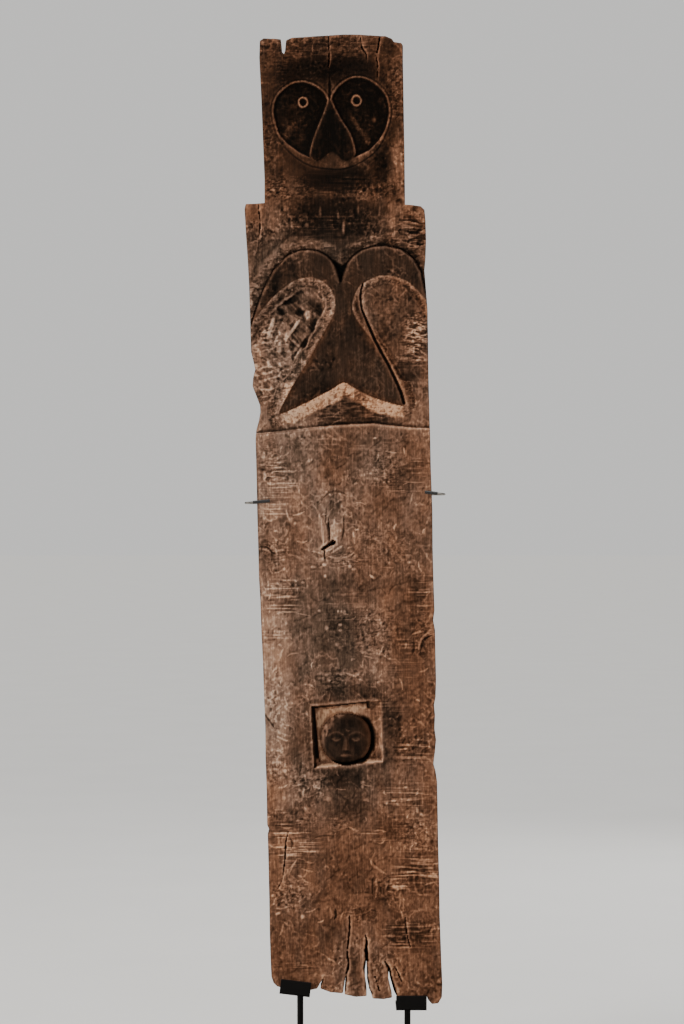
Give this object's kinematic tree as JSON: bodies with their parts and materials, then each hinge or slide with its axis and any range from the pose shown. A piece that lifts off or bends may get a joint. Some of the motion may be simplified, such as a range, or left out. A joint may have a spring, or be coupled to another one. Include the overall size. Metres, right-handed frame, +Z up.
{
  "type": "carved ancestor board on a display stand",
  "caption": "Tall flat hardwood board carved with two heart-shaped faces and a niche head, held upright on padded shelves and by two sliding hooks on a steel stand.",
  "frame": {"origin": "on the floor, under the middle of the base plate", "axes": "+Z up; the carved face looks along -Y; +X is to the right for someone who faces the carving"},
  "size_m": [0.44, 0.3, 1.975],
  "materials": {
    "carved_wood": "weathered hardwood with a dark hand-worn patina",
    "blackened_steel": "satin black",
    "bare_steel": "plain rod and screws",
    "black_felt": "dense wool felt",
    "black_rubber": "smooth soft tube"
  },
  "bodies": {
    "stand": {"base_felt": "black_felt", "base_plate": "blackened_steel", "tie_bar": "blackened_steel", "upright_left": "blackened_steel", "upright_right": "blackened_steel", "upright_screw_left": "bare_steel", "upright_screw_right": "bare_steel", "upright_wrap_left": "black_felt", "upright_wrap_right": "black_felt", "shelf_left": "blackened_steel", "shelf_right": "blackened_steel", "shelf_pad_left": "black_felt", "shelf_pad_right": "black_felt"},
    "board": {"carved_board": "carved_wood"},
    "block_left": {"clamp_block_left": "blackened_steel"},
    "block_right": {"clamp_block_right": "blackened_steel"},
    "hook_left": {"hook_left": "bare_steel", "hook_sleeve_left": "black_rubber"},
    "hook_right": {"hook_right": "bare_steel", "hook_sleeve_right": "black_rubber"},
    "hook_screw_left": {"hook_screw_left": "bare_steel"},
    "hook_screw_right": {"hook_screw_right": "bare_steel"},
    "block_screw_left": {"block_screw_left": "bare_steel"},
    "block_screw_right": {"block_screw_right": "bare_steel"}
  },
  "joints": [
    {"name": "board_lift", "type": "slide", "parent": "stand", "child": "board", "axis": [0, 0, 1], "range_m": [0, 0.045]},
    {"name": "block_height_left", "type": "slide", "parent": "stand", "child": "block_left", "axis": [0, 0, 1], "range_m": [-0.045, 0.045]},
    {"name": "block_height_right", "type": "slide", "parent": "stand", "child": "block_right", "axis": [0, 0, 1], "range_m": [-0.06, 0.035]},
    {"name": "hook_reach_left", "type": "slide", "parent": "block_left", "child": "hook_left", "axis": [-1, 0, 0], "range_m": [0, 0.03]},
    {"name": "hook_reach_right", "type": "slide", "parent": "block_right", "child": "hook_right", "axis": [1, 0, 0], "range_m": [0, 0.03]},
    {"name": "hook_screw_turn_left", "type": "hinge", "parent": "block_left", "child": "hook_screw_left", "pos_m": [-0.103, 0.0483, 1.0838], "axis": [0, 1, 0], "range_deg": [0, 360]},
    {"name": "hook_screw_turn_right", "type": "hinge", "parent": "block_right", "child": "hook_screw_right", "pos_m": [0.103, 0.0483, 1.1005], "axis": [0, 1, 0], "range_deg": [0, 360]},
    {"name": "block_screw_turn_left", "type": "hinge", "parent": "block_left", "child": "block_screw_left", "pos_m": [-0.103, 0.0483, 1.0688], "axis": [0, 1, 0], "range_deg": [0, 360]},
    {"name": "block_screw_turn_right", "type": "hinge", "parent": "block_right", "child": "block_screw_right", "pos_m": [0.103, 0.0483, 1.0855], "axis": [0, 1, 0], "range_deg": [0, 360]}
  ]
}
